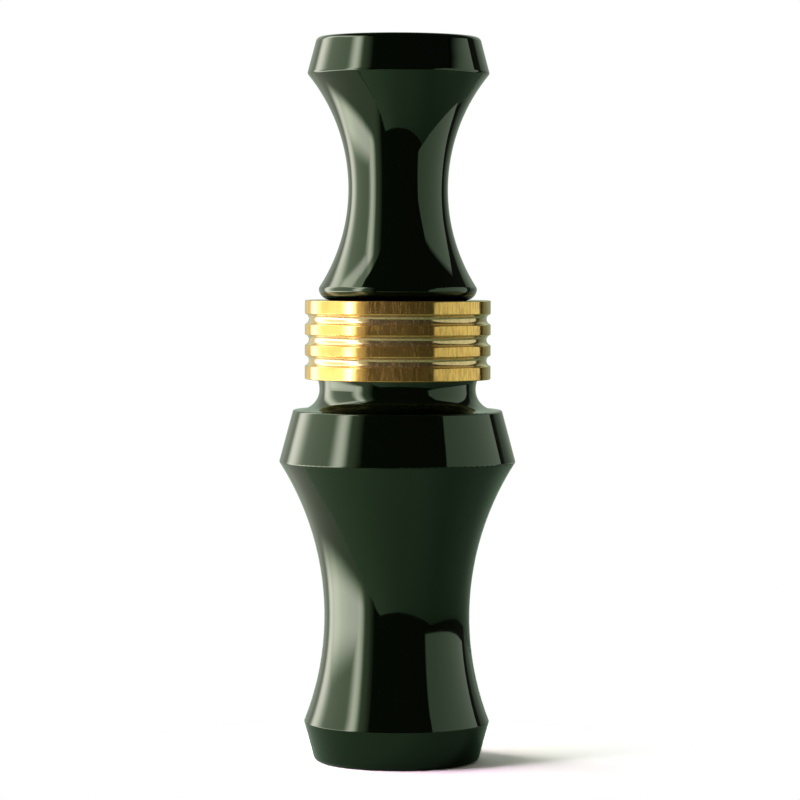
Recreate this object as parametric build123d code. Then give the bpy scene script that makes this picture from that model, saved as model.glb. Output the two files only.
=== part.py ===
from build123d import *

import os

# Duck call, turned from acrylic rod of about 1-1/2 inch, with a grooved brass band.
# It stands on its mouthpiece end. The axis of the call is Z and the origin is
# the centre of the mouthpiece's end face. Lengths are in millimetres.
#
# From the outside in, the call is a barrel with a band glued on its tenon, and
# an insert that seats on the barrel's end. The insert carries a drop-in tone
# board, whose stem slides in the barrel's bore on two O-rings. Two reeds lie on
# the tone board's flat, facing -Y, and a cork wedge clamps them in its notch.

# ---- Driving dimensions: shared -------------------------------------------
INCH = 25.4
BARREL_TOP = 74.9
CALL_TOP = 117.4
BORE_R = 5 / 8 * INCH / 2

# ---- Driving dimensions: barrel -------------------------------------------
BASE_R = 13.36
BASE_ROUND = 1.0
RING_R, RING_Z = 15.06, 6.4
RING_ROUND = 0.35
WAIST_R, WAIST_Z = 11.8, 23.5
SHOULDER_R, SHOULDER_Z = 19.2, 48.7
SHOULDER_ROUND = 0.45
SHOULDER_TOP_R, SHOULDER_TOP_Z = 16.95, 57.1
SHOULDER_TOP_ROUND = 0.35
COVE_R = 3.35
NECK_R = 12.69
TENON_R = 12.65
MOUTH_R = 10.2
MOUTH_DEPTH = 3.2
MOUTH_BULGE = 0.45
LEAD_IN = 0.5

# ---- Driving dimensions: band ---------------------------------------------
BAND_R = 1.1875 * INCH / 2
BAND_BORE_R = 12.7
BAND_HEIGHT = 12.8
BAND_LIP_R = 13.0
GROOVE_COUNT = 3
GROOVE_PITCH = 3.37
GROOVE_TOOL_R = 0.86
GROOVE_DEPTH = 0.66
BAND_EDGE_ROUND = 0.2

# ---- Driving dimensions: insert -------------------------------------------
FOOT_R, FOOT_Z = 12.85, 76.85
FOOT_NOSE_R = 1.7
FOOT_EDGE_ROUND = 0.9
INSERT_WAIST_R, INSERT_WAIST_Z = 8.07, 92.6
FLANGE_R, FLANGE_Z = 14.76, 111.5
FLANGE_ROUND = 0.5
END_R = 13.2
END_ROUND = 0.9
BELL_R = 8.6
BELL_START_Z = 97.0
BELL_LIP_ROUND = 0.9
EXHAUST_R = 3 / 8 * INCH / 2
SOCKET_R = 6.35
SOCKET_TOP = 88.9

# ---- Driving dimensions: tone board ---------------------------------------
STEM_R = 7.8
SPIGOT_R = 6.32
SPIGOT_TOP = 88.6
TIP_R, TIP_Z = 7.2, 15.6
TIP_CORNER_R = 3.0
TAPER_START_Z = 50.0
FLAT_Y = -0.6
NOTCH_BACK_Z = 66.2
NOTCH_FRONT_Z = 55.2
NOTCH_ROOF_Y = -4.8
RAIL_START_Z = 37.0
RAIL_DROP = 1.9
BELLY_START_Z = 48.0
BELLY_TIP_Y = 3.8
BELLY_FULLNESS = 0.72
CHANNEL_TIP_Z = 19.5
CHANNEL_TIP_WIDTH, CHANNEL_TIP_DEPTH = 3.4, 3.2
CHANNEL_WIDTH, CHANNEL_DEPTH = 5.0, 4.6
THROAT_R = 2.15
THROAT_STEP = 0.2
SPIGOT_BORE_R = 3.7
SPIGOT_BORE_Z = 76.5
SPIGOT_FLARE_Z = 86.0

# ---- Driving dimensions: O-rings, reeds and wedge -------------------------
ORING_Z = {"front_o_ring": 68.7, "rear_o_ring": 72.3}
ORING_GROOVE_WIDTH = 2.2
ORING_GROOVE_R = 6.25
ORING_INNER_R = 6.27
ORING_OUTER_R = 7.915
ORING_WIDTH = 1.95
ORING_ROUND = 0.75
REED_THICKNESS = 0.010 * INCH
REED_WIDTH = 13.2
REED_ROOT_Z = 66.1
REED_CORNER_R = 2.6
LOWER_REED_TIP_Z = 16.2
UPPER_REED_TIP_Z = 18.4
WEDGE_WIDTH = 12.0
WEDGE_LENGTH = 0.5 * INCH
WEDGE_CHAMFER = 0.8

# A cutter reaches well past the outside of the board, and a little past a face that it opens.
CLEAR = 12.0
OVERCUT = 1.0

# A shallow curve that starts in line with a straight has left it by this share of its rise halfway along.
HALFWAY_SHARE = 1 / 4


# ---- Helpers ---------------------------------------------------------------
def turned(outline, rounded=()):
    """Revolves a closed outline of (radius, height) edges about Z, filleted at each (corner, radius)."""
    face = make_face(outline)
    for corner, radius in rounded:
        vertex = face.vertices().sort_by_distance(corner)[0]
        face = fillet(vertex, radius)
    return revolve(Plane.XZ * face, Axis.Z)


def cylinder_between(radius, low_z, high_z, y=0.0):
    """An upright cylinder from low_z to high_z, with its axis at x = 0 and the given y."""
    height = high_z - low_z
    return Pos(0, y, low_z) * Cylinder(radius, height, align=(Align.CENTER, Align.CENTER, Align.MIN))


def box_between(width, low_y, high_y, low_z, high_z):
    """A box of the given width centred on x = 0."""
    centre = Pos(0, (low_y + high_y) / 2, (low_z + high_z) / 2)
    return centre * Box(width, high_y - low_y, high_z - low_z)


def side_extruded(outline, width):
    """Extrudes a closed outline of (y, z) edges to both sides of x = 0."""
    return extrude(Plane.YZ * make_face(outline), amount=width / 2, both=True)


def write(solid, node):
    """Writes one sub-part to parts/NODE.step."""
    solid.label = node
    export_step(solid, f"parts/{node}.step")


# ---- Barrel ------------------------------------------------------------------
def make_barrel():
    """The mouthpiece body: a waisted shell with a lanyard cove and a tenon for the band."""
    cove_z = SHOULDER_TOP_Z + COVE_R
    cove_edge_r = NECK_R + COVE_R
    band_seat_z = BARREL_TOP - BAND_HEIGHT
    neck_mid_r = NECK_R + (BAND_LIP_R - NECK_R) * HALFWAY_SHARE
    neck_mid_z = (cove_z + band_seat_z) / 2
    mouth_mid_r = (MOUTH_R + BORE_R) / 2 - MOUTH_BULGE
    base_edge = (BASE_R, 0)
    ring = (RING_R, RING_Z)
    shoulder = (SHOULDER_R, SHOULDER_Z)
    shoulder_top = (SHOULDER_TOP_R, SHOULDER_TOP_Z)
    outline = [
        Line((MOUTH_R, 0), base_edge),
        Line(base_edge, ring),
        ThreePointArc(ring, (WAIST_R, WAIST_Z), shoulder),
        Line(shoulder, shoulder_top),
        Line(shoulder_top, (cove_edge_r, SHOULDER_TOP_Z)),
        RadiusArc((cove_edge_r, SHOULDER_TOP_Z), (NECK_R, cove_z), COVE_R),
        ThreePointArc((NECK_R, cove_z), (neck_mid_r, neck_mid_z), (BAND_LIP_R, band_seat_z)),
        Polyline(
            (BAND_LIP_R, band_seat_z),
            (TENON_R, band_seat_z),
            (TENON_R, BARREL_TOP),
            (BORE_R + LEAD_IN, BARREL_TOP),
            (BORE_R, BARREL_TOP - LEAD_IN),
            (BORE_R, MOUTH_DEPTH),
        ),
        ThreePointArc((BORE_R, MOUTH_DEPTH), (mouth_mid_r, MOUTH_DEPTH / 2 - MOUTH_BULGE), (MOUTH_R, 0)),
    ]
    rounded = [
        (base_edge, BASE_ROUND),
        (ring, RING_ROUND),
        (shoulder, SHOULDER_ROUND),
        (shoulder_top, SHOULDER_TOP_ROUND),
        ((MOUTH_R, 0), LEAD_IN),
    ]
    return turned(outline, rounded)


# ---- Band ----------------------------------------------------------------------
def make_band():
    """The brass band: a plain ring with three round-bottomed grooves, which leave four ribs."""
    low_z = BARREL_TOP - BAND_HEIGHT
    mid_z = BARREL_TOP - BAND_HEIGHT / 2
    band = cylinder_between(BAND_R, low_z, BARREL_TOP) - cylinder_between(BAND_BORE_R, low_z, BARREL_TOP)
    for index in range(GROOVE_COUNT):
        groove_z = mid_z + (index - (GROOVE_COUNT - 1) / 2) * GROOVE_PITCH
        tool_path_r = BAND_R - GROOVE_DEPTH + GROOVE_TOOL_R
        band -= Pos(0, 0, groove_z) * Torus(tool_path_r, GROOVE_TOOL_R)
    corners = band.edges().filter_by(GeomType.CIRCLE).group_by(SortBy.RADIUS)
    outer_edges = corners[-1]
    return fillet(outer_edges, BAND_EDGE_ROUND)


# ---- Insert --------------------------------------------------------------------
def make_insert():
    """The turned end piece: a foot that seats on the barrel, a waist, and a flared end with a bell."""
    foot = (FOOT_R, FOOT_Z)
    flange = (FLANGE_R, FLANGE_Z)
    end_edge = (END_R, CALL_TOP)
    bell_edge = (BELL_R, CALL_TOP)
    nose_r = FOOT_R - FOOT_NOSE_R
    outline = [
        Line((SOCKET_R, BARREL_TOP), (nose_r, BARREL_TOP)),
        RadiusArc((nose_r, BARREL_TOP), foot, -(FOOT_Z - BARREL_TOP)),
        ThreePointArc(foot, (INSERT_WAIST_R, INSERT_WAIST_Z), flange),
        Polyline(flange, end_edge, bell_edge),
        TangentArc((EXHAUST_R, BELL_START_Z), bell_edge, tangent=(0, 1)),
        Polyline(
            (EXHAUST_R, BELL_START_Z),
            (EXHAUST_R, SOCKET_TOP),
            (SOCKET_R, SOCKET_TOP),
            (SOCKET_R, BARREL_TOP),
        ),
    ]
    rounded = [
        (foot, FOOT_EDGE_ROUND),
        (flange, FLANGE_ROUND),
        (end_edge, END_ROUND),
        (bell_edge, BELL_LIP_ROUND),
    ]
    return turned(outline, rounded)


# ---- Tone board ------------------------------------------------------------------
def channel_section(width, depth, z):
    """A U-shaped face at height z: open at the flat, straight-sided, with a half-round floor."""
    radius = width / 2
    open_y = FLAT_Y - OVERCUT
    floor_y = FLAT_Y + depth - radius
    outline = [
        Polyline((-radius, floor_y), (-radius, open_y), (radius, open_y), (radius, floor_y)),
        ThreePointArc((radius, floor_y), (0, floor_y + radius), (-radius, floor_y)),
    ]
    return Pos(0, 0, z) * make_face(outline)


def make_tone_board():
    """The drop-in tone board: spigot, O-ring collar, wedge notch, and the board that the reeds beat on."""
    board = turned(
        Polyline(
            (0, TIP_Z),
            (TIP_R, TIP_Z),
            (STEM_R, TAPER_START_Z),
            (STEM_R, BARREL_TOP),
            (SPIGOT_R, BARREL_TOP),
            (SPIGOT_R, SPIGOT_TOP),
            (0, SPIGOT_TOP),
            close=True,
        )
    )
    for ring_z in ORING_Z.values():
        low_z, high_z = ring_z - ORING_GROOVE_WIDTH / 2, ring_z + ORING_GROOVE_WIDTH / 2
        board -= cylinder_between(CLEAR, low_z, high_z) - cylinder_between(ORING_GROOVE_R, low_z, high_z)

    # The reed side: everything in front of the flat goes, then the notch under its roof.
    board -= box_between(2 * CLEAR, -CLEAR, FLAT_Y, TIP_Z - OVERCUT, NOTCH_FRONT_Z)
    board -= box_between(2 * CLEAR, NOTCH_ROOF_Y, FLAT_Y, NOTCH_FRONT_Z - OVERCUT, NOTCH_BACK_Z)

    # The rails curve away from the reeds towards the tip.
    rail_start = (FLAT_Y, RAIL_START_Z)
    rail_middle = (FLAT_Y + RAIL_DROP * HALFWAY_SHARE, (RAIL_START_Z + TIP_Z) / 2)
    rail_tip = (FLAT_Y + RAIL_DROP, TIP_Z)
    front_y = FLAT_Y - OVERCUT
    rails = [
        ThreePointArc(rail_start, rail_middle, rail_tip),
        Polyline(rail_tip, (front_y, TIP_Z), (front_y, RAIL_START_Z), rail_start),
    ]
    board -= side_extruded(rails, 2 * CLEAR)

    # The belly thins towards the tip in one long curve.
    belly_start = (STEM_R, BELLY_START_Z)
    belly_middle_y = BELLY_TIP_Y + (STEM_R - BELLY_TIP_Y) * BELLY_FULLNESS
    belly_middle = (belly_middle_y, (BELLY_START_Z + TIP_Z) / 2)
    belly_tip = (BELLY_TIP_Y, TIP_Z)
    belly = [
        ThreePointArc(belly_start, belly_middle, belly_tip),
        Polyline(belly_tip, (CLEAR, TIP_Z), (CLEAR, BELLY_START_Z), belly_start),
    ]
    board -= side_extruded(belly, 2 * CLEAR)

    # Rounded corners at the tip, seen from the reed side.
    plan = Rectangle(2 * TIP_R, SPIGOT_TOP, align=(Align.CENTER, Align.MIN))
    plan += Pos(0, TAPER_START_Z) * Rectangle(2 * CLEAR, SPIGOT_TOP, align=(Align.CENTER, Align.MIN))
    tip_corners = plan.vertices().group_by(Axis.Y)[0]
    plan = fillet(tip_corners, TIP_CORNER_R)
    tip_zone = extrude(Plane.XZ.offset(-CLEAR) * Pos(0, TIP_Z) * plan, amount=2 * CLEAR)
    board &= tip_zone

    # The tone channel widens and deepens from the tip to the throat, which opens into the spigot.
    board -= loft(
        [
            channel_section(CHANNEL_TIP_WIDTH, CHANNEL_TIP_DEPTH, CHANNEL_TIP_Z),
            channel_section(CHANNEL_WIDTH, CHANNEL_DEPTH, NOTCH_BACK_Z),
        ]
    )
    throat_y = FLAT_Y + CHANNEL_DEPTH - THROAT_R - THROAT_STEP
    board -= cylinder_between(THROAT_R, NOTCH_BACK_Z - OVERCUT, SPIGOT_BORE_Z + OVERCUT, y=throat_y)
    flare = Polyline(
        (0, SPIGOT_BORE_Z),
        (SPIGOT_BORE_R, SPIGOT_BORE_Z),
        (SPIGOT_BORE_R, SPIGOT_FLARE_Z),
        (EXHAUST_R, SPIGOT_TOP),
        (0, SPIGOT_TOP),
        close=True,
    )
    board -= turned(flare)
    return board


# ---- O-rings, reeds and wedge -------------------------------------------------------
def make_o_ring(centre_z):
    """One O-ring in its squeezed, installed shape."""
    mid_r = (ORING_INNER_R + ORING_OUTER_R) / 2
    section = RectangleRounded(ORING_OUTER_R - ORING_INNER_R, ORING_WIDTH, ORING_ROUND)
    return revolve(Plane.XZ * Pos(mid_r, centre_z) * section, Axis.Z)


def make_reed(layer, tip_z):
    """One flat reed, with rounded tip corners. Layer 0 lies on the tone board, and layer 1 on layer 0."""
    back_y = FLAT_Y - layer * REED_THICKNESS
    outline = Rectangle(REED_WIDTH, REED_ROOT_Z - tip_z, align=(Align.CENTER, Align.MIN))
    outline = fillet(outline.vertices().group_by(Axis.Y)[0], REED_CORNER_R)
    return extrude(Plane.XZ.offset(-back_y) * Pos(0, tip_z) * outline, amount=REED_THICKNESS)


def make_wedge():
    """The cork wedge between the upper reed and the notch's roof."""
    reeds_y = FLAT_Y - 2 * REED_THICKNESS
    front_z = REED_ROOT_Z - WEDGE_LENGTH
    wedge = box_between(WEDGE_WIDTH, NOTCH_ROOF_Y, reeds_y, front_z, REED_ROOT_Z)
    front_top = wedge.edges().filter_by(Axis.X).group_by(Axis.Z)[0].sort_by(Axis.Y)[0]
    return chamfer(front_top, WEDGE_CHAMFER)


def main():
    os.makedirs("parts", exist_ok=True)
    write(make_barrel(), "barrel")
    write(make_band(), "band")
    write(make_insert(), "insert")
    write(make_tone_board(), "tone_board")
    for node, centre_z in ORING_Z.items():
        write(make_o_ring(centre_z), node)
    write(make_reed(0, LOWER_REED_TIP_Z), "lower_reed")
    write(make_reed(1, UPPER_REED_TIP_Z), "upper_reed")
    write(make_wedge(), "wedge")


main()
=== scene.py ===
import math

import bmesh
import bpy
from mathutils import Matrix, Vector, noise


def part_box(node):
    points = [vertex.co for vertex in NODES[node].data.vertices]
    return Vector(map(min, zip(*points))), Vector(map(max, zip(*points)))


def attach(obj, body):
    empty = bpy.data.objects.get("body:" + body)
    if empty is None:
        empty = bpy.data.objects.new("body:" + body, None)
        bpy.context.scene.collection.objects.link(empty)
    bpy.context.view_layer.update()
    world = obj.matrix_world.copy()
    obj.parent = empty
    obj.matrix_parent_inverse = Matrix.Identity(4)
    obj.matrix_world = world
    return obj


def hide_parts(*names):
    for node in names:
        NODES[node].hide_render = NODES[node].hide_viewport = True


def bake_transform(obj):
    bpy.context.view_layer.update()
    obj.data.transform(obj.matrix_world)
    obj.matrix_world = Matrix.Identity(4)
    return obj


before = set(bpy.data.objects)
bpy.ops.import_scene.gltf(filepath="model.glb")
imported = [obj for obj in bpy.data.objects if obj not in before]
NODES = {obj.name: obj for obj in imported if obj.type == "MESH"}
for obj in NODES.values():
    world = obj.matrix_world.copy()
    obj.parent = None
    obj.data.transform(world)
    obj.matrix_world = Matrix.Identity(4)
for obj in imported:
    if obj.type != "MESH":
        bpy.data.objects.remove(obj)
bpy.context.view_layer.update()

# A duck call that stands on its mouthpiece, seen from the front (-Y), in metres.
# Sizes come from the frame's boxes. The looks are all procedural.
SCENE = bpy.context.scene
MM = 0.001
BAND_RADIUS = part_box("band")[1].x
# Radius of the rounded corners at each reed's tip, over which the film's rows are spaced more finely.
REED_CORNER = 2.6 * MM


# ---- Shader helpers -----------------------------------------------------------
class Shader:
    """A small wrapper that adds nodes and links to one material or world."""

    def __init__(self, owner):
        owner.use_nodes = True
        self.tree = owner.node_tree
        self.tree.nodes.clear()

    def add(self, kind, inputs=None, **settings):
        """Adds a node. An input is a value, or another node's output socket to link from."""
        node = self.tree.nodes.new(kind)
        for name, value in settings.items():
            setattr(node, name, value)
        for name, value in (inputs or {}).items():
            if isinstance(value, bpy.types.NodeSocket):
                self.tree.links.new(value, node.inputs[name])
            else:
                node.inputs[name].default_value = value
        return node

    def math(self, operation, first, second=0.0, clamp=False):
        node = self.add("ShaderNodeMath", {0: first, 1: second}, operation=operation)
        node.use_clamp = clamp
        return node.outputs[0]

    def ramp(self, value, low, high, to_low=0.0, to_high=1.0):
        """A smooth step from to_low to to_high as value goes from low to high."""
        inputs = {"Value": value, "From Min": low, "From Max": high, "To Min": to_low, "To Max": to_high}
        return self.add("ShaderNodeMapRange", inputs, interpolation_type="SMOOTHSTEP").outputs[0]

    def mix(self, factor, first, second):
        """A colour between first and second."""
        node = self.add("ShaderNodeMix", data_type="RGBA")
        for index, value in ((0, factor), (6, first), (7, second)):
            if isinstance(value, bpy.types.NodeSocket):
                self.tree.links.new(value, node.inputs[index])
            else:
                node.inputs[index].default_value = value
        return node.outputs[2]

    def noise(self, vector, scale, detail=2.0, roughness=0.5):
        inputs = {"Vector": vector, "Scale": scale, "Detail": detail, "Roughness": roughness}
        return self.add("ShaderNodeTexNoise", inputs).outputs["Fac"]

    def position(self, scale=(1, 1, 1)):
        """The object's own coordinates in metres, times scale."""
        coordinates = self.add("ShaderNodeTexCoord").outputs["Object"]
        return self.add("ShaderNodeMapping", {"Vector": coordinates, "Scale": scale}).outputs[0]

    def across(self, axes):
        """The distance from the Z axis, from a Separate XYZ node."""
        x, y = axes.outputs["X"], axes.outputs["Y"]
        return self.math("SQRT", self.math("ADD", self.math("MULTIPLY", x, x), self.math("MULTIPLY", y, y)))

    def bump(self, height, distance, strength=1.0, normal=None):
        inputs = {"Height": height, "Distance": distance, "Strength": strength}
        if normal is not None:
            inputs["Normal"] = normal
        return self.add("ShaderNodeBump", inputs).outputs[0]

    def surface(self, shader):
        self.tree.links.new(shader, self.add("ShaderNodeOutputMaterial").inputs["Surface"])


def material(name):
    made = bpy.data.materials.new(name)
    return made, Shader(made)


def principled(shader, inputs):
    node = shader.add("ShaderNodeBsdfPrincipled", inputs)
    shader.surface(node.outputs[0])
    return node


def rgb(red, green, blue):
    return (red, green, blue, 1.0)


# ---- Materials -----------------------------------------------------------------
def acrylic_material():
    """Polished dark green acrylic: hand-buffed, so its reflections waver very slightly."""
    made, s = material("green_acrylic")
    place = s.position()
    waver = s.noise(place, 130.0, 1.0)
    haze = s.noise(place, 900.0, 3.0)
    tone = s.noise(place, 60.0, 2.0)
    colour = s.mix(tone, rgb(0.0001, 0.0009, 0.0001), rgb(0.0002, 0.0017, 0.0002))
    principled(s, {
        "Base Color": colour,
        "Roughness": s.ramp(haze, 0.3, 0.8, 0.035, 0.055),
        "IOR": 1.55,
        "Specular Tint": rgb(0.70, 1.0, 0.64),
        "Normal": s.bump(waver, 0.00003, 0.5),
    })
    return made


def brass_material():
    """Turned brass: tool marks round it, short dull scratches down it, faint tarnish, and painted light in
    the grooves, which are painted paler and less orange.
    """
    made, s = material("brass")
    place = s.position()
    axes = s.add("ShaderNodeSeparateXYZ", {"Vector": place})
    radius = s.across(axes)
    rings = s.noise(s.position((60, 60, 9000)), 1.0, 3.0)
    strokes = s.noise(s.position((2500, 2500, 420)), 1.0, 3.0, 0.6)
    tarnish = s.noise(place, 190.0, 4.0, 0.6)
    spots = s.noise(place, 1500.0, 2.0)
    worn = s.ramp(tarnish, 0.42, 0.72)
    colour = s.mix(worn, rgb(0.73, 0.47, 0.13), rgb(0.61, 0.355, 0.09))
    colour = s.mix(s.ramp(spots, 0.66, 0.78, 0.0, 0.40), colour, rgb(0.34, 0.22, 0.07))
    colour = s.mix(s.ramp(strokes, 0.46, 0.66, 0.0, 0.22), colour, rgb(0.36, 0.22, 0.05))
    # Painted light: the grooves are painted paler and less orange, to offset the orange that light takes on
    # bouncing between the ribs.
    groove_painted_light = s.ramp(radius, BAND_RADIUS - 0.30 * MM, BAND_RADIUS - 0.04 * MM, 1.0, 0.0)
    colour = s.mix(groove_painted_light, colour, rgb(0.62, 0.47, 0.23))
    rough = s.math("ADD", s.ramp(strokes, 0.45, 0.80, 0.11, 0.27), s.ramp(tarnish, 0.4, 0.8, 0.0, 0.05))
    normal = s.bump(strokes, 0.000004, 0.5)
    around = s.add("ShaderNodeTangent", direction_type="RADIAL", axis="Z").outputs[0]
    principled(s, {
        "Base Color": colour,
        "Metallic": s.ramp(strokes, 0.38, 0.62, 0.91, 0.73),
        "Roughness": rough,
        "Anisotropic": 0.9,
        "Anisotropic Rotation": 0.25,
        "Tangent": around,
        "Normal": s.bump(rings, 0.000003, 0.6, normal),
    })
    return made


def board_material():
    """Satin ivory acrylic, with the fine lines that flat sanding leaves along the board."""
    made, s = material("ivory_board")
    lines = s.noise(s.position((3500, 3500, 90)), 1.0, 3.0)
    cloud = s.noise(s.position(), 220.0, 3.0)
    colour = s.mix(cloud, rgb(0.62, 0.55, 0.42), rgb(0.72, 0.66, 0.53))
    principled(s, {
        "Base Color": colour,
        "Roughness": s.ramp(lines, 0.3, 0.7, 0.26, 0.42),
        "IOR": 1.49,
        "Subsurface Weight": 0.15,
        "Subsurface Scale": 0.002,
        "Normal": s.bump(lines, 0.000008, 0.5),
    })
    return made


def reed_material():
    """Frosted polyester film."""
    made, s = material("reed_film")
    grain = s.noise(s.position(), 2500.0, 2.0)
    cloud = s.noise(s.position(), 150.0, 2.0)
    principled(s, {
        "Base Color": s.mix(cloud, rgb(0.70, 0.74, 0.76), rgb(0.80, 0.83, 0.83)),
        "Roughness": s.ramp(grain, 0.3, 0.7, 0.24, 0.38),
        "IOR": 1.6,
        "Transmission Weight": 0.25,
        "Normal": s.bump(grain, 0.000004, 0.5),
    })
    return made


def cork_material():
    """Composition cork: pale granules with dark seams and pits between them."""
    made, s = material("cork")
    place = s.position()
    cells = s.add("ShaderNodeTexVoronoi", {"Vector": place, "Scale": 1300.0})
    seams = s.add("ShaderNodeTexVoronoi", {"Vector": place, "Scale": 1300.0}, feature="DISTANCE_TO_EDGE")
    tint = s.add("ShaderNodeSeparateColor", {"Color": cells.outputs["Color"]}).outputs[0]
    grain = s.mix(tint, rgb(0.34, 0.19, 0.085), rgb(0.60, 0.38, 0.19))
    seam = s.ramp(seams.outputs["Distance"], 0.02, 0.12)
    colour = s.mix(seam, rgb(0.16, 0.08, 0.035), grain)
    principled(s, {
        "Base Color": colour,
        "Roughness": 0.85,
        "Normal": s.bump(seam, 0.00006, 0.7),
    })
    return made


def rubber_material():
    """Greased black nitrile rubber, with a faint mould bloom."""
    made, s = material("o_ring_rubber")
    bloom = s.noise(s.position(), 1400.0, 4.0)
    principled(s, {
        "Base Color": s.mix(bloom, rgb(0.010, 0.010, 0.011), rgb(0.028, 0.028, 0.030)),
        "Roughness": s.ramp(bloom, 0.3, 0.7, 0.28, 0.48),
        "Normal": s.bump(bloom, 0.00001, 0.4),
    })
    return made


def dress(piece, made):
    """Gives a piece one material in place of whatever it has."""
    piece.data.materials.clear()
    piece.data.materials.append(made)


# ---- Soft pieces ------------------------------------------------------------------
def build_mesh(name, bm, made):
    """Makes an object from a bmesh, with its normals outward."""
    bmesh.ops.recalc_face_normals(bm, faces=bm.faces)
    mesh = bpy.data.meshes.new(name)
    bm.to_mesh(mesh)
    bm.free()
    mesh.materials.append(made)
    piece = bpy.data.objects.new(name, mesh)
    SCENE.collection.objects.link(piece)
    return piece


def reed_half_width(height, half_width):
    """Half of the film's width at a height above its tip, where its corners are rounded."""
    if height >= REED_CORNER:
        return half_width
    return half_width - REED_CORNER + math.sqrt(REED_CORNER**2 - (REED_CORNER - height)**2)


def make_film(node, made):
    """A reed of polyester film, in rows fine enough to bend, with its long edges eased."""
    low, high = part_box(node)
    arc_rows = 14
    row_height = 0.7 * MM
    heights = [REED_CORNER * (1 - math.cos(math.pi / 2 * k / arc_rows)) for k in range(arc_rows)]
    straight = high.z - low.z - REED_CORNER
    straight_rows = round(straight / row_height)
    heights += [REED_CORNER + straight * k / straight_rows for k in range(straight_rows + 1)]
    ease = 0.05 * MM
    across = [-1.0, -0.75, -0.5, -0.25, 0.0, 0.25, 0.5, 0.75, 1.0]
    bm = bmesh.new()
    rings = []
    for height in heights:
        half = reed_half_width(height, high.x)
        z = low.z + height
        front = [bm.verts.new(((half - ease) * t, low.y, z)) for t in across]
        back = [bm.verts.new(((half - ease) * t, high.y, z)) for t in across]
        right = [bm.verts.new((half, low.y + ease, z)), bm.verts.new((half, high.y - ease, z))]
        left = [bm.verts.new((-half, high.y - ease, z)), bm.verts.new((-half, low.y + ease, z))]
        rings.append(front + right + back[::-1] + left)
    count = len(rings[0])
    for lower, upper in zip(rings, rings[1:]):
        for k in range(count):
            bm.faces.new((lower[k], lower[(k + 1) % count], upper[(k + 1) % count], upper[k]))
    for ring in (rings[0], rings[-1]):
        bm.faces.new(ring)
    piece = build_mesh(node + "_film", bm, made)
    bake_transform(piece)
    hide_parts(node)


def make_cork(made):
    """The cork wedge: a cut block with soft edges, and pits where granules have torn out."""
    low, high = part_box("wedge")
    chamfer = 0.8 * MM
    edge_round = 0.18 * MM
    grid = 0.16 * MM
    granule_dip, torn_pit = 0.05 * MM, 0.14 * MM
    side = [(low.y, low.z + chamfer), (low.y + chamfer, low.z), (high.y, low.z)]
    side += [(high.y, high.z), (low.y, high.z)]
    bm = bmesh.new()
    face = bm.faces.new([bm.verts.new((low.x, y, z)) for y, z in side])
    grown = bmesh.ops.extrude_face_region(bm, geom=[face])["geom"]
    moved = [v for v in grown if isinstance(v, bmesh.types.BMVert)]
    bmesh.ops.translate(bm, verts=moved, vec=(high.x - low.x, 0, 0))
    bmesh.ops.recalc_face_normals(bm, faces=bm.faces)
    bmesh.ops.bevel(bm, geom=bm.edges[:], offset=edge_round, segments=2, profile=0.5, affect="EDGES")
    piece = build_mesh("cork_wedge", bm, made)
    remesh = piece.modifiers.new("grid", "REMESH")
    remesh.mode = "VOXEL"
    remesh.voxel_size = grid
    depsgraph = bpy.context.evaluated_depsgraph_get()
    fine = bpy.data.meshes.new_from_object(piece.evaluated_get(depsgraph), depsgraph=depsgraph)
    piece.modifiers.clear()
    piece.data = fine
    if not fine.materials:
        fine.materials.append(made)
    normals = [v.normal.copy() for v in fine.vertices]
    for vertex, normal in zip(fine.vertices, normals):
        grain = noise.noise(vertex.co * 900.0)
        torn = noise.noise(vertex.co * 2300.0 + Vector((7.0, 3.0, 5.0)))
        pit = granule_dip * max(0.0, grain) + torn_pit * max(0.0, torn - 0.28)
        vertex.co -= normal * (pit + 0.01 * MM)
    fine.shade_smooth()
    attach(piece, "insert")
    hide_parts("wedge")


# ---- Stage: the table, the softbox, the reflector and the room ----------------
def stage_panel(name, corners, made):
    """A flat stage piece."""
    mesh = bpy.data.meshes.new(name)
    mesh.from_pydata([tuple(c) for c in corners], [], [range(len(corners))])
    mesh.materials.append(made)
    panel = bpy.data.objects.new(name, mesh)
    SCENE.collection.objects.link(panel)
    return panel


def table_material():
    """Table top: greener to the call, and painted darker towards the right as shade. To the camera its
    colour is raised as painted light, and further out it glows plain white.
    """
    made, s = material("table_white")
    axes = s.add("ShaderNodeSeparateXYZ", {"Vector": s.position()})
    # Painted shade: to the call the table is greener, and painted darker towards the right, away from the
    # softbox.
    paper_with_painted_falloff = s.mix(s.ramp(axes.outputs["X"], -0.060, 0.010), rgb(0.62, 0.84, 0.68), rgb(0.46, 0.68, 0.52))
    seen = s.add("ShaderNodeLightPath").outputs["Is Camera Ray"]
    # Painted light: to the camera the table's colour is about 2.7 times white, pinker close to the call to
    # cancel the green in its shadow.
    painted_camera_light = s.mix(s.ramp(s.across(axes), 0.014, 0.030), rgb(2.95, 2.68, 3.00), rgb(2.70, 2.78, 2.82))
    painted_table_colour = s.mix(seen, paper_with_painted_falloff, painted_camera_light)
    matt = s.add("ShaderNodeBsdfDiffuse", {"Color": painted_table_colour}).outputs[0]
    white = s.add("ShaderNodeEmission", {"Color": rgb(1, 1, 1), "Strength": 1.0}).outputs[0]
    # Painted light: further out the table glows plain white to the camera, which fades out the tail of its
    # shadow.
    painted_white_fade = s.math("MULTIPLY", seen, s.ramp(s.across(axes), 0.020, 0.050))
    s.surface(s.add("ShaderNodeMixShader", {0: painted_white_fade, 1: matt, 2: white}).outputs[0])
    return made


def make_table():
    left, right, front, back = -0.072, 0.210, -0.150, 0.260
    corners = [(left, front, 0), (right, front, 0), (right, back, 0), (left, back, 0)]
    return stage_panel("table", corners, table_material())


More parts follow.
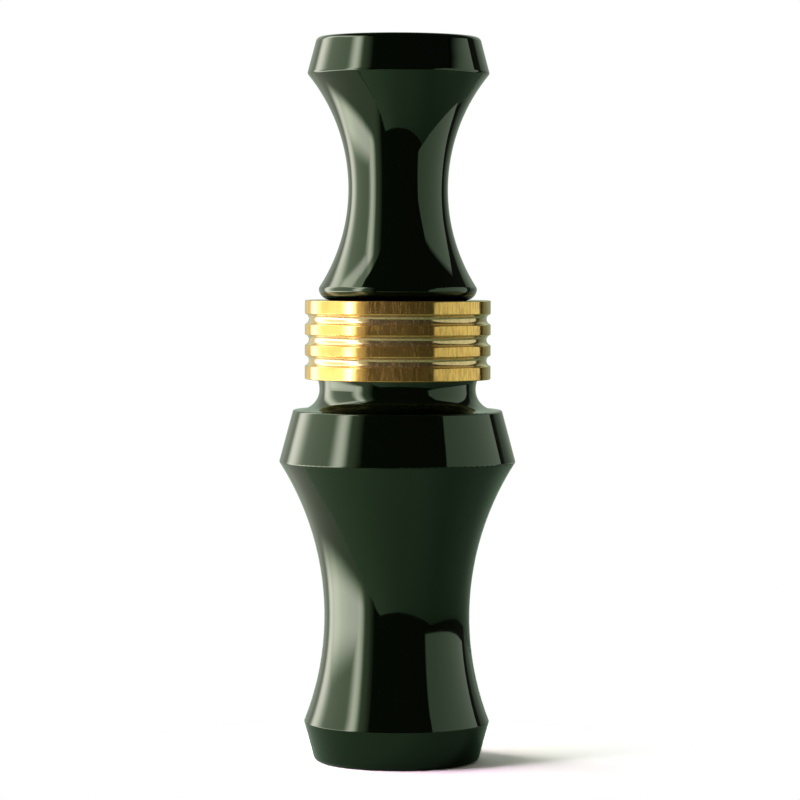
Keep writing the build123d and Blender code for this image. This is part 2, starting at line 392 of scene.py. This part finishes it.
def softbox_material():
    """A softbox face: dim in the middle, hot along its rim, and greener where it is dim."""
    made, s = material("softbox_face")
    where = s.add("ShaderNodeSeparateXYZ", {"Vector": s.add("ShaderNodeTexCoord").outputs["Object"]})
    y, z = where.outputs["Y"], where.outputs["Z"]
    window = s.math("MULTIPLY", s.ramp(y, -0.235, -0.160), s.ramp(y, 0.200, 0.300, 1.0, 0.0))
    near = s.math("MULTIPLY", s.ramp(y, -0.230, -0.150, 0.0, 6.2), s.ramp(y, -0.152, -0.080, 1.0, 0.0))
    far = s.math("MULTIPLY", s.ramp(y, 0.060, 0.165, 0.0, 3.3), s.ramp(y, 0.180, 0.300, 1.0, 0.0))
    bottom = s.math("MULTIPLY", s.ramp(y, 0.060, 0.230, 1.0, 0.2), s.ramp(z, 0.0, 0.058, 5.3, 0.0))
    bottom = s.math("MULTIPLY", window, bottom)
    top = s.math("MULTIPLY", window, s.ramp(z, 0.265, 0.305, 0.0, 3.9))
    rim = s.math("MAXIMUM", s.math("MAXIMUM", near, far), s.math("MAXIMUM", bottom, top))
    level = s.math("ADD", rim, s.math("MULTIPLY", window, 1.0))
    level = s.math("MULTIPLY", level, s.ramp(z, -0.085, -0.030))
    level = s.math("MULTIPLY", level, s.ramp(z, 0.330, 0.365, 1.0, 0.3))
    level = s.math("ADD", level, s.ramp(y, -0.400, -0.220, 0.0, 0.80))
    hot = s.mix(s.ramp(y, -0.10, 0.10), rgb(1.27, 1.0, 1.16), rgb(1.11, 1.0, 0.96))
    colour = s.mix(s.ramp(level, 0.6, 6.0), rgb(0.97, 1.0, 0.84), hot)
    s.surface(s.add("ShaderNodeEmission", {"Color": colour, "Strength": level}).outputs[0])
    return made


def make_softbox():
    x = -0.270
    near, far, low, top = -0.380, 0.560, -0.300, 0.420
    corners = [(x, near, low), (x, far, low), (x, far, top), (x, near, top)]
    panel = stage_panel("softbox", corners, softbox_material())
    panel.visible_camera = False
    return panel


def make_reflector():
    """A pale card to the right, with its top corners cut off. Its near edge and top fade."""
    made, s = material("reflector_face")
    where = s.add("ShaderNodeSeparateXYZ", {"Vector": s.add("ShaderNodeTexCoord").outputs["Object"]})
    y, z = where.outputs["Y"], where.outputs["Z"]
    level = s.math("MULTIPLY", s.ramp(y, -0.16, 0.06, 0.86, 1.14), s.ramp(y, -0.192, -0.165))
    level = s.math("MULTIPLY", level, s.ramp(z, 0.180, 0.202, 1.0, 0.0))
    s.surface(s.add("ShaderNodeEmission", {"Color": rgb(0.92, 1.0, 0.88), "Strength": level}).outputs[0])
    x = 0.175
    outline = [(-0.192, 0.012), (0.100, 0.012), (0.091, 0.135), (0.062, 0.202)]
    outline += [(-0.088, 0.202), (-0.170, 0.122)]
    panel = stage_panel("reflector", [(x, y, z) for y, z in outline], made)
    panel.visible_camera = False
    panel.visible_diffuse = False
    return panel


def make_room():
    """White to the camera. To the call, a dark room with a grey sweep behind and a pale floor far below."""
    world = bpy.data.worlds.new("studio")
    SCENE.world = world
    s = Shader(world)
    direction = s.add("ShaderNodeSeparateXYZ", {"Vector": s.add("ShaderNodeTexCoord").outputs["Generated"]})
    x, y, z = direction.outputs["X"], direction.outputs["Y"], direction.outputs["Z"]
    behind = s.math("ADD", s.ramp(y, 0.62, 0.70, 0.0, 0.6), s.ramp(y, 0.68, 0.92, 0.0, 0.5))
    sweep = s.math("ADD", s.ramp(x, -0.5, 0.2, 0.60, 0.36), s.ramp(z, 0.08, 0.35, 0.0, 0.30))
    below = s.ramp(z, -0.70, -0.60, 0.5, 0.0)
    level = s.math("ADD", s.math("MULTIPLY", behind, sweep), below)
    level = s.math("ADD", level, 0.045)
    seen = s.add("ShaderNodeLightPath").outputs["Is Camera Ray"]
    tint = s.mix(s.ramp(level, 0.05, 0.20), rgb(0.95, 0.95, 0.70), rgb(0.82, 1.0, 0.78))
    dark = s.add("ShaderNodeBackground", {"Color": tint, "Strength": level}).outputs[0]
    white = s.add("ShaderNodeBackground", {"Color": rgb(1, 1, 1), "Strength": 1.0}).outputs[0]
    mixed = s.add("ShaderNodeMixShader", {0: seen, 1: dark, 2: white}).outputs[0]
    s.tree.links.new(mixed, s.add("ShaderNodeOutputWorld").inputs["Surface"])


# ---- Camera ---------------------------------------------------------------------
def make_camera():
    """At the call's front, a little below its top, tilted down slightly."""
    low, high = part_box("barrel")[0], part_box("insert")[1]
    distance = 0.5546
    eye_height = 0.082
    aim_height = (low.z + high.z) / 2
    side = 0.0004
    roll_degrees = 0.18
    sensor_mm, lens_mm = 36.0, 153.8
    data = bpy.data.cameras.new("camera")
    data.sensor_width = sensor_mm
    data.lens = lens_mm
    camera = bpy.data.objects.new("camera", data)
    SCENE.collection.objects.link(camera)
    eye = Vector((side, -distance, eye_height))
    look = Vector((side, 0.0, aim_height)) - eye
    turn = look.to_track_quat("-Z", "Y").to_matrix().to_4x4()
    roll = Matrix.Rotation(math.radians(roll_degrees), 4, "Z")
    camera.matrix_world = Matrix.Translation(eye) @ turn @ roll
    SCENE.camera = camera


# ---- Build ----------------------------------------------------------------------
acrylic = acrylic_material()
rubber = rubber_material()
dress(NODES["barrel"], acrylic)
dress(NODES["insert"], acrylic)
dress(NODES["band"], brass_material())
dress(NODES["tone_board"], board_material())
dress(NODES["front_o_ring"], rubber)
dress(NODES["rear_o_ring"], rubber)
film = reed_material()
cork = cork_material()
dress(NODES["lower_reed"], film)
dress(NODES["upper_reed"], film)
dress(NODES["wedge"], cork)
make_film("lower_reed", film)
make_film("upper_reed", film)
make_cork(cork)

make_table()
make_softbox()
make_reflector()
make_room()
make_camera()
SCENE.view_settings.view_transform = "Standard"
